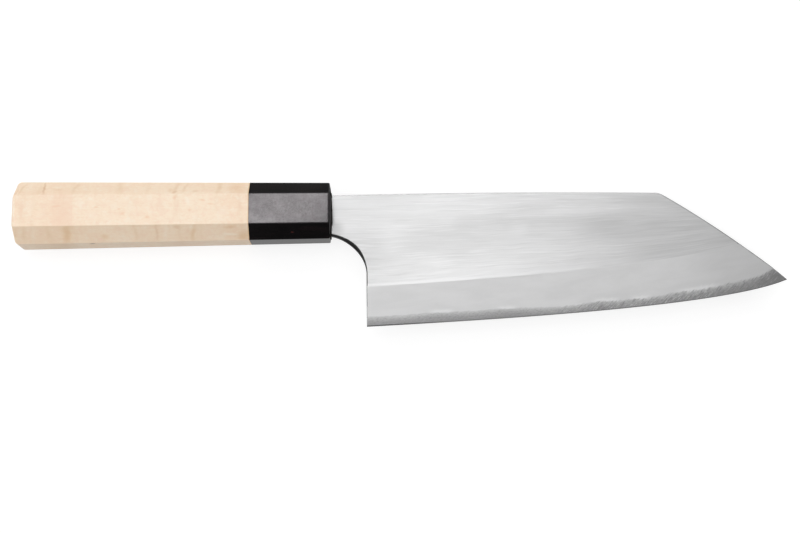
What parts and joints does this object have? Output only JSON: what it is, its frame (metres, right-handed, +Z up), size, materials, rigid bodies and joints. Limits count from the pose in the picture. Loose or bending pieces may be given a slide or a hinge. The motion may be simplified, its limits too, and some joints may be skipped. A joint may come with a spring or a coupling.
{
  "type": "bunka kitchen knife",
  "caption": "Japanese kitchen knife with a laminated, wide-bevelled blade, an angled tip, and an octagonal wooden handle with a dark horn ferrule.",
  "frame": {"origin": "centre of the underside of the bounding box, with the knife lying on its left side", "axes": "+X from the butt to the tip along the handle's axis, +Y towards the spine so that the cutting edge faces -Y, +Z up through the thickness"},
  "size_m": [0.312, 0.0598, 0.0196],
  "materials": {
    "core_steel": "hard carbon steel core, stone polished, mottled, darker than the cladding",
    "cladding_steel": "soft steel cladding with a misty polish, faint cloudy lines along the blade",
    "handle_maple": "pale figured maple with soft bands across the grain, satin oil finish",
    "ferrule_horn": "polished black horn",
    "dowel_wood": "plain hardwood, not seen from outside",
    "tang_resin": "hardened resin, not seen from outside",
    "mouth_seal": "dark bead of filler, slightly uneven"
  },
  "bodies": {
    "root": {"core_steel": "core_steel", "cladding_right": "cladding_steel", "cladding_left": "cladding_steel", "handle_body": "handle_maple", "ferrule": "ferrule_horn", "handle_dowel": "dowel_wood", "tang_adhesive": "tang_resin", "mouth_seal": "mouth_seal"}
  },
  "joints": []
}
